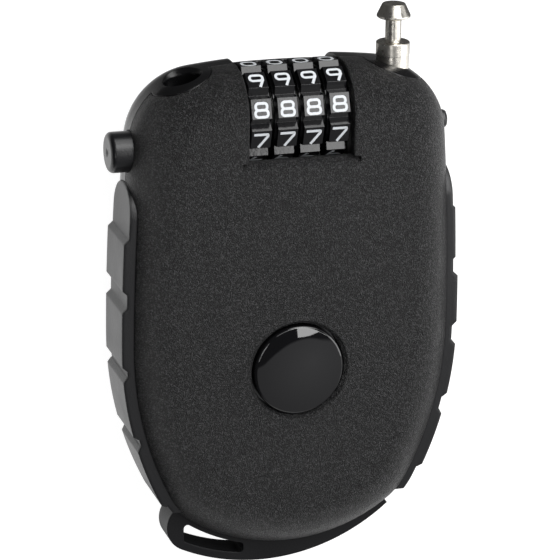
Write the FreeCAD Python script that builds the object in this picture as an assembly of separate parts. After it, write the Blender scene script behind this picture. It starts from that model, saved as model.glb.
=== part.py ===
import FreeCAD, Part
import math
import os

from FreeCAD import Vector

# A compact combination lock with a retractable cable, lying on its back.
# Frame: X to the right, Y up the face towards the dials, Z out of the front face, back face at Z = 0.
# X = 0 is the plane of symmetry of the case, Y = 0 is the middle of the lock's length. Millimetres.

# Case
case_depth = 18.0
seam_z = 9.2
seam_gap = 0.12
half_width = 26.2
widest_y = -7.0
top_y = 36.5
bottom_y = -41.9
top_radius = 120.0
top_corner_radius = 11.7
upper_side_radius = 400.0
lower_side_radius = 56.0
bottom_corner_radius = 12.0
bottom_radius = 28.0
front_edge_radius = 7.2
back_edge_radius = 7.0
side_wall = 2.3
face_wall = 1.8
floor_wall = 1.8

# Clearances
running_gap = 0.06
slide_gap = 0.1
press_gap = 0.02
free_gap = 0.3

# Dials
dial_y = 28.45
dial_z = 9.6
dial_pitch = 4.13
dial_count = 4
dial_faces = 10
dial_width = 3.55
dial_land_length = 3.12
dial_hub_radius = 6.6
dial_land_apothem = 7.66
dial_land_width = 3.05
dial_groove_radius = 6.75
dial_land_angle = 18.9
last_dial_offset = 1.5
dial_bore_radius = 4.0
dial_relief_radius = 4.45
tooth_zone = 0.95
tooth_width = 0.8
window_half_width = 8.3
window_bottom_drop = 5.65
window_bevel = 1.1
window_bevel_crown = 0.12
window_side_bevel = 0.2
window_back_angle = 43.0
dial_clearance_radius = 8.45

# Code sleeves and latch spindle
sleeve_play = 0.07
sleeve_web = 1.3
sleeve_chamber_radius = 2.9
spindle_radius = 1.5
fin_radius = 2.6
fin_thickness = 0.6
fin_width = 0.9
gate_width = 1.2

# Dial frame
frame_plate = 1.3
frame_side_gap = 0.15
frame_y_low = 19.0
frame_y_high = 31.0
frame_z_low = 4.6
frame_z_high = 14.2
frame_bar_y_low = 15.9
frame_bar_y_high = 19.45
frame_bar_z_high = 12.0
fork_boss_radius = 2.6
fork_plate = 0.8
fork_margin = 0.6
frame_hub_radius = 2.15
sleeve_spring_wire = 0.12
detent_leaf = 0.2
detent_finger = 3.3
detent_low_z = 6.6
detent_root_z = 10.4
detent_bead_radius = 0.35
detent_bead_length = 1.8
frame_screw_tip_z = 1.6

# Socket, cable exit and locking pin
socket_x = 16.8
socket_z = 10.1
boss_radius = 4.5
socket_radius = 2.8
socket_floor_y = 27.5
socket_floor_wall = 0.6
socket_rim_chamfer = 0.7
exit_rim_chamfer = 0.4
pin_radius = 2.6
pin_guide_radius = 2.52
pin_collar_free = 2.0
pin_tip_radius = 1.82
pin_neck_radius = 1.22
pin_top_y = 44.3
pin_cone_height = 1.75
pin_lip_height = 0.45
pin_neck_height = 3.75
pin_collar_height = 7.6
exit_boss_y = 26.8
bush_height = 3.5

# Latch and release button
release_y = 23.6
release_z = 9.3
release_radius = 3.15
release_end_x = -28.2
release_travel = 1.9
release_rod_radius = 1.2
release_flange_radius = 3.85
release_flange_thickness = 0.8
release_seat_x = -22.35
release_spigot_radius = 0.8
release_rim_round = 0.8
release_rib_x = -17.5
latch_block_x = -13.1
latch_block_width = 1.1
latch_block_low_z = 7.9
latch_block_margin = 1.4
latch_blade_y = 31.7
latch_blade_height = 0.9
latch_blade_depth = 3.6

# Code set pin
code_y = 24.5
code_z = 7.0
code_pin_radius = 1.5
code_end_x = 26.9
code_travel = 1.0
code_rod_radius = 1.0
code_seat_x = 22.5
code_flange_radius = 2.1
code_flange_thickness = 0.8
code_rib_x = 15.4

# Ejector
ejector_top_y = 30.6
ejector_travel = 1.2
ejector_height = 1.6
ejector_crown = 0.5

# Reel, cable and brake
reel_y = -11.0
reel_radius = 22.0
drum_radius = 21.5
reel_plate = 0.8
cable_radius = 0.8
cable_z = socket_z
channel_play = 0.15
winding_start_radius = 8.3
winding_pitch = 2.05
winding_half_turns = 13
hub_radius = 7.2
skirt_bore_radius = 6.2
skirt_bottom_z = 3.2
drum_wall = 0.8
drum_bottom_z = 3.4
reel_neck_radius = 5.0
reel_bore_radius = 3.1
power_spring_strip = 0.25
power_spring_pitch = 1.0
power_spring_turns = 11
power_spring_z_low = 3.1
power_spring_height = 4.8
arbor_radius = 8.6
arbor_top_z = 6.0
cable_guide_y = 22.0
cable_guide_bend = 60.0

button_radius = 7.2
button_dome_radius = 30.0
button_rim_round = 0.5
button_hole_gap = 0.3
button_hole_bevel = 0.55
button_proud = 1.0
button_travel = 1.5
button_flange_radius = 8.9
button_flange_thickness = 1.4
button_stem_radius = 2.6
key_reach = 10.4
key_width = 2.0
hold_ring_radius = 12.4
brake_disc_radius = 5.6
brake_disc_thickness = 0.8
brake_pad_thickness = 0.8
brake_spring_radius = 4.2
brake_spring_wire = 0.5
stem_screw_bite = 5.0

# Screws
screw_radius = 1.0
screw_head_radius = 1.9
screw_head_height = 1.2
screw_boss_radius = 2.8
case_screw_seat = 2.0
case_screw_places = ((-13.0, 16.0), (13.0, 16.0), (-13.5, -32.5), (13.5, -32.5))
frame_screw_x = 5.6

# Grip strips and foot
strip_z_low = 4.0
strip_z_high = 14.2
strip_depth = 1.2
strip_proud = 0.25
lug_proud = 1.0
strip_top_y = 18.6
strip_bottom_y = -34.6
strip_gap = 0.1
lug_bevel = 1.0
left_lugs = ((2.0, 11.0), (-10.2, 0.1), (-21.5, -11.2), (-33.2, -22.8))
right_lugs = ((3.4, 12.4), (-7.6, 1.6), (-19.3, -9.8), (-30.8, -21.3))
rib_pitch = 1.6
rib_groove_radius = 0.3
foot_z_low = 7.6
foot_z_high = 12.6
foot_centre_x = -3.41
foot_reach = 2.83
foot_radius = 31.15
foot_left_radius = 4.2
foot_left_angle = -116.5
foot_left_rise = 60.0
foot_right_angle = -54.0
slot_inner_wall = 0.5
slot_outer_wall = 1.35
slot_x_low = -16.9
slot_x_high = -7.1
slot_end_round = 0.6

# Derived: the foot's lowest point stays under the case
foot_centre = (foot_centre_x, bottom_y - foot_reach + foot_radius)
beyond = 60.0

X_AXIS = Vector(1, 0, 0)
Y_AXIS = Vector(0, 1, 0)
Z_AXIS = Vector(0, 0, 1)


# Basic solids

def cylinder(radius, start, axis, length):
    return Part.makeCylinder(radius, length, Vector(*start), axis)


def tube(outer, inner, start, axis, length):
    return cylinder(outer, start, axis, length).cut(cylinder(inner, start, axis, length))


def box(x_low, x_high, y_low, y_high, z_low, z_high):
    size = (x_high - x_low, y_high - y_low, z_high - z_low)
    return Part.makeBox(*size, Vector(x_low, y_low, z_low))


def turned(points, origin, axis):
    """A solid of revolution: points are (distance along the axis, radius), from the origin."""
    side = Y_AXIS if abs(axis.x) > 0.5 else X_AXIS
    start = Vector(*origin)
    corners = [start + axis * along + side * radius for along, radius in points]
    wire = Part.makePolygon(corners + [corners[0]])
    return Part.Face(wire).revolve(start, axis, 360)


def joined(shapes):
    whole = shapes[0].multiFuse(shapes[1:]) if len(shapes) > 1 else shapes[0]
    return whole.removeSplitter()


def without(shape, tools):
    return shape.cut(tools)


def slab(z_low, z_high):
    reach = 80.0
    return box(-reach, reach, -reach, reach, z_low, z_high)


# Case outline: tangent arcs, the same centres for every inset

def tangent_centre(first, first_radius, second, second_radius, radius, highest):
    """Centre of a circle that touches two larger circles from inside, on the right-hand side."""
    a = first_radius - radius
    b = second_radius - radius
    dx = second[0] - first[0]
    dy = second[1] - first[1]
    gap = math.hypot(dx, dy)
    along = (a * a - b * b + gap * gap) / (2 * gap)
    across = math.sqrt(a * a - along * along)
    middle = (first[0] + along * dx / gap, first[1] + along * dy / gap)
    both = [(middle[0] + s * across * dy / gap, middle[1] - s * across * dx / gap) for s in (-1, 1)]
    both = [p for p in both if p[0] > 0]
    return max(both, key=lambda p: p[1]) if highest else min(both, key=lambda p: p[1])


top_centre = (0.0, top_y - top_radius)
upper_centre = (half_width - upper_side_radius, widest_y)
lower_centre = (half_width - lower_side_radius, widest_y)
bottom_centre = (0.0, bottom_y + bottom_radius)
top_corner = tangent_centre(
    top_centre, top_radius, upper_centre, upper_side_radius, top_corner_radius, True)
bottom_corner = tangent_centre(
    bottom_centre, bottom_radius, lower_centre, lower_side_radius, bottom_corner_radius, False)


def bearing_of(centre, outer):
    """Angle of the line from the centre of a large arc through the centre of a corner arc."""
    return math.atan2(outer[1] - centre[1], outer[0] - centre[0])


def right_arcs():
    """Arcs from the top's end to the bottom's end on the right: centre, radius, two angles."""
    top_end = bearing_of(top_centre, top_corner)
    upper_start = bearing_of(upper_centre, top_corner)
    lower_end = bearing_of(lower_centre, bottom_corner)
    bottom_start = bearing_of(bottom_centre, bottom_corner)
    return [
        (top_corner, top_corner_radius, top_end, upper_start),
        (upper_centre, upper_side_radius, upper_start, 0.0),
        (lower_centre, lower_side_radius, 0.0, lower_end),
        (bottom_corner, bottom_corner_radius, lower_end, bottom_start),
    ], top_end, bottom_start


def point_on(centre, radius, angle, z=0.0):
    return Vector(centre[0] + radius * math.cos(angle), centre[1] + radius * math.sin(angle), z)


def arc(centre, radius, start, end, z=0.0):
    middle = (start + end) / 2
    points = [point_on(centre, radius, angle, z) for angle in (start, middle, end)]
    return Part.Arc(*points).toShape()


def outline(inset, z=0.0):
    arcs, top_end, bottom_start = right_arcs()
    edges = [arc(top_centre, top_radius - inset, math.pi - top_end, top_end, z)]
    for centre, radius, start, end in arcs:
        edges.append(arc(centre, radius - inset, start, end, z))
    edges.append(arc(bottom_centre, bottom_radius - inset, bottom_start, -math.pi - bottom_start, z))
    for centre, radius, start, end in reversed(arcs):
        mirrored = (-centre[0], centre[1])
        edges.append(arc(mirrored, radius - inset, math.pi - end, math.pi - start, z))
    return Part.Wire(edges)


def plate(inset, z_low, z_high):
    return Part.Face(outline(inset, z_low)).extrude(Z_AXIS * (z_high - z_low))


def ring(outer_inset, inner_inset, z_low, z_high):
    return plate(outer_inset, z_low, z_high).cut(plate(inner_inset, z_low, z_high))


def rounded_block(inset, z_low, z_high, low_radius, high_radius):
    block = plate(inset, z_low, z_high)
    for z, radius in ((z_high, high_radius), (z_low, low_radius)):
        rim = [e for e in block.Edges if abs(e.BoundBox.ZMin - z) < 1e-6 and abs(e.BoundBox.ZMax - z) < 1e-6]
        block = block.makeFillet(radius, rim)
    return block


def outline_x(y):
    """Half-width of the case at a height between its upper corner and its lower corner."""
    radius = upper_side_radius if y > widest_y else lower_side_radius
    return half_width - radius + math.sqrt(radius ** 2 - (y - widest_y) ** 2)


def shoulder_y(x):
    """Height of the case's top edge over a place on the corner arc or the crown."""
    if abs(x) > top_corner[0]:
        return top_corner[1] + math.sqrt(top_corner_radius ** 2 - (abs(x) - top_corner[0]) ** 2)
    return top_centre[1] + math.sqrt(top_radius ** 2 - x ** 2)


cavity_top_z = case_depth - face_wall
outer_block = rounded_block(0.0, 0.0, case_depth, back_edge_radius, front_edge_radius)
cavity_block = rounded_block(
    side_wall, floor_wall, cavity_top_z,
    back_edge_radius - side_wall, front_edge_radius - side_wall)


# Springs and cable: arcs joined without a corner

def arc_from(start, tangent, end):
    """The arc that leaves start along tangent and reaches end."""
    chord = end - start
    along = chord / chord.Length
    side = tangent - along * tangent.dot(along)
    if side.Length < 1e-6:
        return Part.LineSegment(start, end).toShape()
    angle = math.atan2(side.Length, tangent.dot(along))
    rise = chord.Length / 2 * math.tan(angle / 2)
    middle = start + chord / 2 + side / side.Length * rise
    return Part.Arc(start, middle, end).toShape()


def biarc(start, first, end, last):
    """Two arcs that meet smoothly, from start along first to end along last."""
    span = end - start
    both = first + last
    spread = 2 * (1 - first.dot(last))
    reach = (-span.dot(both) + math.sqrt(span.dot(both) ** 2 + spread * span.dot(span))) / spread
    meeting = (start + end + (first - last) * reach) / 2
    back = arc_from(end, last * -1, meeting)
    middle = back.valueAt((back.FirstParameter + back.LastParameter) / 2)
    return [arc_from(start, first, meeting), Part.Arc(meeting, middle, end).toShape()]


def coil(mean_radius, wire_radius, turns, length, origin, axis, end_radius=None):
    """A compression spring, straight or conical: each half turn is two arcs."""
    u = Y_AXIS if abs(axis.x) > 0.5 else X_AXIS
    v = axis.cross(u)
    last_radius = mean_radius if end_radius is None else end_radius
    climb = (length - 2 * wire_radius) / (turns * 2 * math.pi)
    spread = (last_radius - mean_radius) / (turns * 2 * math.pi)
    start = Vector(*origin) + axis * wire_radius

    def place(angle):
        flat = u * math.cos(angle) + v * math.sin(angle)
        return start + flat * (mean_radius + spread * angle) + axis * (climb * angle)

    def heading(angle):
        flat = u * math.cos(angle) + v * math.sin(angle)
        round_way = v * math.cos(angle) - u * math.sin(angle)
        way = round_way * (mean_radius + spread * angle) + flat * spread + axis * climb
        return way / way.Length

    edges = []
    for half in range(int(2 * turns)):
        a = half * math.pi
        b = a + math.pi
        edges += biarc(place(a), heading(a), place(b), heading(b))
    print("coil: mean radius %.2f mm, wire %.2f mm, least gap %.2f mm" % (
        mean_radius, 2 * wire_radius, least_gap(edges, 2 * wire_radius)))
    section = Part.Wire(Part.makeCircle(wire_radius, place(0), heading(0)))
    return Part.Wire(edges).makePipeShell([section], True, False)


def spiral_edges(start_radius, pitch, half_turns, place, turn, z, grow=0.0):
    """Half circles, outwards and anticlockwise, ending at the angle given by turn.

    Each is half a pitch larger than the one before; the last has its centre on the axis.
    """
    edges = []
    for k in range(half_turns):
        shift = -pitch / 2 if (half_turns - k) % 2 == 0 else 0.0
        centre = (place[0] + shift * math.cos(turn), place[1] + shift * math.sin(turn))
        start = turn + math.pi * (k - half_turns)
        edges.append(arc(centre, start_radius + k * pitch / 2 + grow, start, start + math.pi, z))
    return edges


def least_gap(edges, thickness):
    """Least clear distance between one turn and the next, measured on points along the path."""
    points = []
    travelled = 0.0
    for edge in edges:
        places = edge.discretize(24)
        if points and (places[-1] - points[-1][1]).Length < (places[0] - points[-1][1]).Length:
            places = places[::-1]
        for place in places:
            travelled += (place - points[-1][1]).Length if points else 0.0
            points.append((travelled, place))
    turn = max(edges[0].Length, edges[-1].Length)
    return min(
        (p - q).Length
        for i, (s, p) in enumerate(points) for t, q in points[i:] if t - s > turn) - thickness


# Case pieces

def boss_at(x, y_low):
    """The round boss of the back shell that carries the socket or the cable exit."""
    whole = cylinder(boss_radius, (x, y_low, socket_z), Y_AXIS, 40.0 - y_low)
    return whole.common(outer_block)


def strip_shape(z_low, z_high, y_low, y_high, round_radius):
    """The strip's side view, seen along X: square below and round above."""
    depth = z_high - z_low
    reach = beyond
    block = box(-reach, reach, y_low, y_high, z_low, z_high)
    rim = [e for e in block.Edges
           if e.BoundBox.XLength > reach and abs(e.BoundBox.YMin - y_high) < 1e-6]
    return block.makeFillet(min(round_radius, depth / 2 - 0.05), rim)


def strip_recess():
    view = strip_shape(
        strip_z_low - strip_gap, strip_z_high + strip_gap,
        strip_bottom_y, strip_top_y + strip_gap, 4.6)
    return ring(-3.0, strip_depth, strip_z_low - 1, strip_z_high + 1).common(view)


def foot_recess():
    band = ring(-6.0, strip_depth, foot_z_low - strip_gap, foot_z_high + strip_gap)
    reach = beyond
    return band.common(box(-reach, reach, -reach, strip_bottom_y, 0.0, case_depth))


def rim_cutter(x, bore_radius, chamfer):
    """A bore with a chamfered rim that follows the height of the shoulder."""
    mouth = shoulder_y(x)
    slope = math.asin((abs(x) - top_corner[0]) / top_corner_radius)
    lean = Vector(math.copysign(math.sin(slope), x), math.cos(slope), 0)
    overlap = bore_radius / 4
    cone = Part.makeCone(
        bore_radius - overlap, bore_radius + 3 * chamfer, 3 * chamfer + overlap,
        Vector(x, mouth, socket_z) - lean * (chamfer + overlap), lean)
    return cone


def window_bevels(window_bottom):
    """Bevels round the dial window: along its foot, up its sides and over the rounded edge."""
    z = case_depth
    low = window_bottom - window_bevel
    reach = window_half_width + window_bevel
    middle = window_bottom - window_bevel / 2 + window_bevel_crown
    upper = Vector(-reach, low, z)
    lower = Vector(-reach, window_bottom, z - window_bevel)
    above = Vector(0, 0, 0.2)
    corner = Vector(-reach, window_bottom, z)
    crown = Vector(-reach, middle, z - window_bevel / 2 + window_bevel_crown)
    rounding = Part.Arc(lower, crown, upper)
    foot = Part.Face(Part.Wire([
        rounding.toShape(), Part.LineSegment(upper, upper + above).toShape(),
        Part.LineSegment(upper + above, corner + above).toShape(),
        Part.LineSegment(corner + above, lower).toShape()])).extrude(X_AXIS * (2 * reach))
    turn_y = top_y - front_edge_radius - window_half_width ** 2 / (2 * top_radius)
    turn_z = case_depth - front_edge_radius
    parts = [foot]
    for side in (-1, 1):
        x = side * window_half_width
        out = side * window_side_bevel
        face = Part.Face(Part.makePolygon([
            Vector(x, turn_y, z - window_side_bevel), Vector(x, turn_y, z + 0.2),
            Vector(x + out * 1.4, turn_y, z + 0.2), Vector(x + out, turn_y, z),
            Vector(x, turn_y, z - window_side_bevel)]))
        parts.append(face.extrude(Y_AXIS * (window_bottom - turn_y)))
        parts.append(face.revolve(Vector(0, turn_y, turn_z), X_AXIS, -88))
    return joined(parts)


def front_shell():
    shell = outer_block.common(slab(seam_z + seam_gap / 2, case_depth + 1))
    shell = shell.cut(cavity_block)
    bosses = []
    for x, y in case_screw_places:
        height = cavity_top_z + face_wall / 2 - seam_z - seam_gap / 2
        bosses.append(cylinder(screw_boss_radius, (x, y, seam_z + seam_gap / 2), Z_AXIS, height))
    for side in (-1, 1):
        for step in (-1, 1):
            inner = key_width / 2 + 0.15
            low, high = sorted((side * (button_flange_radius + free_gap), side * (hold_ring_radius - 0.6)))
            y_low, y_high = sorted((reel_y + step * inner, reel_y + step * (inner + 0.9)))
            bosses.append(box(low, high, y_low, y_high, cavity_top_z - 3.8, cavity_top_z + 0.5))
    bosses.append(tube(
        hold_ring_radius, hold_ring_radius - 1.2, (0, reel_y, channel()[1] + reel_plate + slide_gap),
        Z_AXIS, cavity_top_z + 0.5 - channel()[1] - reel_plate - slide_gap))
    shell = joined([shell] + [boss.common(outer_block) for boss in bosses])
    window_bottom = dial_y - window_bottom_drop
    window = box(-window_half_width, window_half_width, window_bottom, top_y + 4.0, 0.0, case_depth + 2.0)
    tools = [window, window_bevels(window_bottom)]
    for x, y in case_screw_places:
        tools.append(cylinder(screw_radius + press_gap, (x, y, 0), Z_AXIS, cavity_top_z - 1.0))
    for x in (-socket_x, socket_x):
        tools.append(cylinder(boss_radius + seam_gap, (x, exit_boss_y - 0.5, socket_z), Y_AXIS, 20.0))
    tools.append(latch_pocket())
    hole = button_radius + button_hole_gap
    tools.append(cylinder(hole, (0, reel_y, cavity_top_z - 1), Z_AXIS, 5.0))
    tools.append(Part.makeCone(
        hole, hole + 2 * button_hole_bevel, 2 * button_hole_bevel,
        Vector(0, reel_y, case_depth - button_hole_bevel), Z_AXIS))
    tools.append(release_hole())
    tools.append(strip_recess())
    tools.append(foot_recess())
    return without(shell, tools)


def window_over_top():
    """The window runs over the top edge into the back half, where it ends square to the wall."""
    y = top_y - back_edge_radius
    z = back_edge_radius
    angle = math.radians(window_back_angle)
    reach = back_edge_radius + 5.0
    far = y + reach
    low = z - reach * math.sin(angle)
    side = [
        (y, z), (y + reach * math.cos(angle), low), (far, low), (far, seam_z), (y, seam_z), (y, z)]
    face = Part.Face(Part.makePolygon([Vector(-window_half_width, *point) for point in side]))
    return face.extrude(X_AXIS * (2 * window_half_width))


def release_hole():
    """The button's guide hole, a flat seat for its flange and room for its travel."""
    depth = release_flange_thickness + release_travel + 0.3
    seat = cylinder(
        release_flange_radius + 0.15, (release_seat_x, release_y, release_z), X_AXIS, depth)
    flat = box(-40.0, 0.0, 0.0, socket_floor_y - socket_floor_wall, 0.0, case_depth)
    guide = cylinder(
        release_radius + slide_gap, (-40.0, release_y, release_z), X_AXIS, 40.0 + release_seat_x + 0.5)
    return joined([guide, seat.common(flat)])


def latch_pocket():
    """Room beside the socket for the latch block and its travel."""
    top = latch_blade_y + latch_blade_height + 0.2
    high = socket_z + latch_blade_depth / 2 + 0.5
    return box(latch_block_x - 0.1, plate_x() * -1 - frame_plate, 20.0, top, 7.5, high)


def back_shell():
    shell = outer_block.common(slab(-1.0, seam_z - seam_gap / 2))
    shell = shell.cut(cavity_block)
    parts = [shell, boss_at(-socket_x, socket_floor_y - socket_floor_wall), boss_at(socket_x, exit_boss_y)]
    rise = seam_z - seam_gap / 2 - floor_wall / 2
    for x, y in case_screw_places:
        parts.append(cylinder(screw_boss_radius, (x, y, floor_wall / 2), Z_AXIS, rise))
    for x in (-frame_screw_x, frame_screw_x):
        middle = (frame_bar_y_low + frame_bar_y_high) / 2
        parts.append(cylinder(1.9, (x, middle, floor_wall / 2), Z_AXIS, frame_z_low - floor_wall / 2))
    parts.append(tube(
        arbor_radius, hub_radius + running_gap, (0, reel_y, floor_wall / 2), Z_AXIS,
        arbor_top_z - floor_wall / 2))
    parts.append(box(
        release_rib_x, release_rib_x + 0.9, release_y - 2.8, socket_floor_y, floor_wall / 2,
        seam_z - seam_gap / 2))
    parts.append(box(
        code_rib_x - 0.8, code_rib_x, code_y - 2.9, exit_boss_y + 1.0, floor_wall / 2,
        cable_z - cable_radius - 0.5))
    shell = joined(parts[:1] + [part.common(outer_block) for part in parts[1:]])
    tools = [
        cylinder(dial_clearance_radius, (-window_half_width, dial_y, dial_z), X_AXIS,
                 2 * window_half_width),
        window_over_top(),
        release_hole(),
        cylinder(release_rod_radius + slide_gap, (-22.0, release_y, release_z), X_AXIS, 12.0),
        cylinder(code_pin_radius + slide_gap, (22.0, code_y, code_z), X_AXIS, 8.0),
        cylinder(
            code_flange_radius + 0.1, (code_seat_x, code_y, code_z), X_AXIS * -1,
            code_flange_thickness + code_travel + free_gap),
        cylinder(code_rod_radius + slide_gap, (10.0, code_y, code_z), X_AXIS, 14.0),
        cylinder(socket_radius, (-socket_x, socket_floor_y, socket_z), Y_AXIS, 20.0),
        rim_cutter(-socket_x, socket_radius, socket_rim_chamfer),
        cylinder(pin_guide_radius + running_gap, (socket_x, exit_boss_y - 1, socket_z), Y_AXIS, 20.0),
        rim_cutter(socket_x, pin_guide_radius + running_gap, exit_rim_chamfer),
        latch_pocket(),
        box(-socket_x, latch_block_x, latch_blade_y - 0.15, latch_blade_y + latch_blade_height + 0.15,
            socket_z - latch_blade_depth / 2 - 0.15, socket_z + latch_blade_depth / 2 + 0.15),
        strip_recess(),
        foot_recess(),
    ]
    for x, y in case_screw_places:
        tools.append(cylinder(screw_radius + 0.15, (x, y, -1), Z_AXIS, 12.0))
        tools.append(cylinder(screw_head_radius + 0.2, (x, y, -1), Z_AXIS, 1.0 + case_screw_seat))
    for x in (-frame_screw_x, frame_screw_x):
        middle = (frame_bar_y_low + frame_bar_y_high) / 2
        tools.append(cylinder(screw_radius + press_gap, (x, middle, 1.2), Z_AXIS, 6.0))
    return without(shell, tools)


def lug_block(y_low, y_high, side):
    """A lug's side view in XY: a trapezium square to the case's edge, bevelled at both ends."""
    middle = (y_low + y_high) / 2
    length = y_high - y_low
    x = outline_x(middle)
    slope = math.atan2(middle - widest_y, outline_x(middle) - lower_centre[0]) if middle < widest_y else 0.0
    outward = Vector(side * math.cos(slope), math.sin(slope), 0)
    along = Vector(-side * math.sin(slope), math.cos(slope), 0)
    base = Vector(side * x, middle, strip_z_low)
    half = length / 2 / max(math.cos(slope), 0.5)
    top = half - lug_bevel
    corners = [
        base - outward * 2.0 - along * half,
        base + outward * (strip_proud - 0.1) - along * half,
        base + outward * (lug_proud + 0.8) - along * (top - 0.55),
        base + outward * (lug_proud + 0.8) + along * (top - 0.55),
        base + outward * (strip_proud - 0.1) + along * half,
        base - outward * 2.0 + along * half,
    ]
    wire = Part.makePolygon(corners + [corners[0]])
    return Part.Face(wire).extrude(Z_AXIS * (strip_z_high - strip_z_low))


def grip_strip(side, lug_spans, first_lug_ribbed):
    inner = strip_depth - strip_gap
    base = ring(-strip_proud, inner, strip_z_low, strip_z_high)
    lugs = ring(-lug_proud, inner, strip_z_low, strip_z_high)
    low_lugs = ring(-(lug_proud + strip_proud) / 2, inner, strip_z_low, strip_z_high)
    parts = [base]
    for index, (y_low, y_high) in enumerate(lug_spans):
        block = lug_block(y_low, y_high, side)
        ribbed = first_lug_ribbed and index == 0
        lug = (low_lugs if ribbed else lugs).common(block)
        if ribbed:
            count = int((y_high - y_low - 2 * lug_bevel) / rib_pitch)
            first = (y_high + y_low) / 2 - (count - 1) * rib_pitch / 2
            x = side * (half_width + (lug_proud + strip_proud) / 2 + 0.12)
            grooves = [
                cylinder(
                    rib_groove_radius, (x, first + k * rib_pitch, strip_z_low - 1), Z_AXIS,
                    strip_z_high - strip_z_low + 2)
                for k in range(count)]
            lug = lug.cut(grooves)
        parts.append(lug)
    strip = joined(parts)
    view = strip_shape(
        strip_z_low, strip_z_high, strip_bottom_y + 2 * strip_gap, strip_top_y, 4.5)
    near, far = sorted((side * 10.0, side * 40.0))
    strip = strip.common(view).common(box(near, far, -beyond, beyond, 0.0, case_depth))
    return strip.removeSplitter()


def foot_profile(z):
    """The foot's outer edge: one large arc, a round left end and a short square right end."""
    tangent = math.radians(foot_left_angle)
    right = math.radians(foot_right_angle)
    small = (
        foot_centre[0] + (foot_radius - foot_left_radius) * math.cos(tangent),
        foot_centre[1] + (foot_radius - foot_left_radius) * math.sin(tangent))
    limit = Vector(bottom_centre[0], bottom_centre[1], z)
    low = math.radians(-90)
    far = point_on(bottom_centre, bottom_radius + 20, right, z)
    start = point_on(foot_centre, foot_radius, low, z)
    top = -math.pi - math.radians(foot_left_rise)
    edges = [
        arc(foot_centre, foot_radius, tangent, low, z),
        arc(small, foot_left_radius, top, tangent, z),
        Part.LineSegment(point_on(small, foot_left_radius, top, z), limit).toShape(),
        Part.LineSegment(limit, start).toShape(),
    ]
    left_part = Part.Face(Part.Wire(Part.__sortEdges__(edges)))
    disc = Part.Face(Part.Wire(Part.makeCircle(foot_radius, Vector(*foot_centre, z))))
    wedge = Part.Face(Part.makePolygon([limit, start, start + Vector(0, -9, 0), far, limit]))
    return left_part.extrude(Z_AXIS * (foot_z_high - z)).fuse(
        disc.common(wedge).extrude(Z_AXIS * (foot_z_high - z)))


def lanyard_foot():
    body = foot_profile(foot_z_low).removeSplitter()
    body = body.cut(plate(strip_depth - strip_gap, foot_z_low - 1, foot_z_high + 1))
    body = body.common(box(-beyond, beyond, -beyond, strip_bottom_y - strip_gap, 0, case_depth))
    low = foot_z_low - 1
    height = foot_z_high - foot_z_low + 2
    outer = cylinder(foot_radius - slot_outer_wall, (*foot_centre, low), Z_AXIS, height)
    inner = cylinder(bottom_radius + slot_inner_wall, (*bottom_centre, low), Z_AXIS, height)
    slot = outer.cut(inner).common(box(slot_x_low, slot_x_high, -beyond, -beyond / 2, low, low + height))
    slot = max(slot.Solids, key=lambda solid: solid.Volume)
    corners = [e for e in slot.Edges if e.BoundBox.ZLength > height / 2]
    slot = slot.makeFillet(slot_end_round, corners)
    body = body.cut(slot)
    return max(body.Solids, key=lambda solid: solid.Volume)


def screw(x, y, head_z, head_up, length):
    """A pan screw with a cross recess, its head's bearing face at head_z."""
    way = -1.0 if head_up else 1.0
    axis = Z_AXIS * way
    head = cylinder(screw_head_radius, (x, y, head_z), axis * -1, screw_head_height)
    shank = cylinder(screw_radius, (x, y, head_z), axis, length)
    outer_face = head_z - way * screw_head_height
    depth = 0.6
    z_low, z_high = sorted((outer_face, outer_face + way * depth))
    slots = [
        box(x - 1.1, x + 1.1, y - 0.2, y + 0.2, z_low, z_high),
        box(x - 0.2, x + 0.2, y - 1.1, y + 1.1, z_low, z_high),
    ]
    return joined([head, shank]).cut(slots)


def case_screws():
    length = cavity_top_z - 2.0 - case_screw_seat
    return Part.makeCompound([
        screw(x, y, case_screw_seat, False, length) for x, y in case_screw_places])


# Dials and latch

def dial_centre(index):
    return (index - (dial_count - 1) / 2) * dial_pitch


def sector_angle(index, face):
    offset = last_dial_offset if index == dial_count - 1 else 0.0
    return math.radians(dial_land_angle + offset + face * 360.0 / dial_faces)


def around(angle, radius, x):
    """A point round the dial axis; the angle is from +Z towards +Y."""
    return Vector(x, dial_y + radius * math.sin(angle), dial_z + radius * math.cos(angle))


def groove_half_width():
    """Half the width of a groove between two lands' corners."""
    half = math.pi / dial_faces - math.atan2(dial_land_width / 2, dial_land_apothem)
    return math.hypot(dial_land_width / 2, dial_land_apothem) * math.sin(half)


def corner_height():
    """Distance from the dial axis to the line between two lands' corners."""
    half = math.pi / dial_faces - math.atan2(dial_land_width / 2, dial_land_apothem)
    return math.hypot(dial_land_width / 2, dial_land_apothem) * math.cos(half)


def dial(index):
    """A ten-sided wheel: flat raised lands with V grooves between them, on a wider hub."""
    x = dial_centre(index) - dial_land_length / 2
    half = math.atan2(dial_land_width / 2, dial_land_apothem)
    corner = math.hypot(dial_land_width / 2, dial_land_apothem)
    points = []
    for face in range(dial_faces):
        angle = sector_angle(index, face)
        points += [
            around(angle - half, corner, x),
            around(angle + half, corner, x),
            around(angle + math.pi / dial_faces, dial_groove_radius, x),
        ]
    lands = Part.Face(Part.makePolygon(points + [points[0]])).extrude(X_AXIS * dial_land_length)
    start = dial_centre(index) - dial_width / 2
    hub = cylinder(dial_hub_radius, (start, dial_y, dial_z), X_AXIS, dial_width)
    bore = cylinder(dial_bore_radius, (start - 1, dial_y, dial_z), X_AXIS, dial_width + 2)
    relief = cylinder(
        dial_relief_radius, (start + 0.5, dial_y, dial_z), X_AXIS, dial_width - 0.5 - tooth_zone)
    tools = [bore, relief]
    for face in range(dial_faces):
        tools.append(tooth(index, face, tooth_width + 0.15, 0.1, dial_width))
    return joined([lands, hub]).cut(tools)


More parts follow.
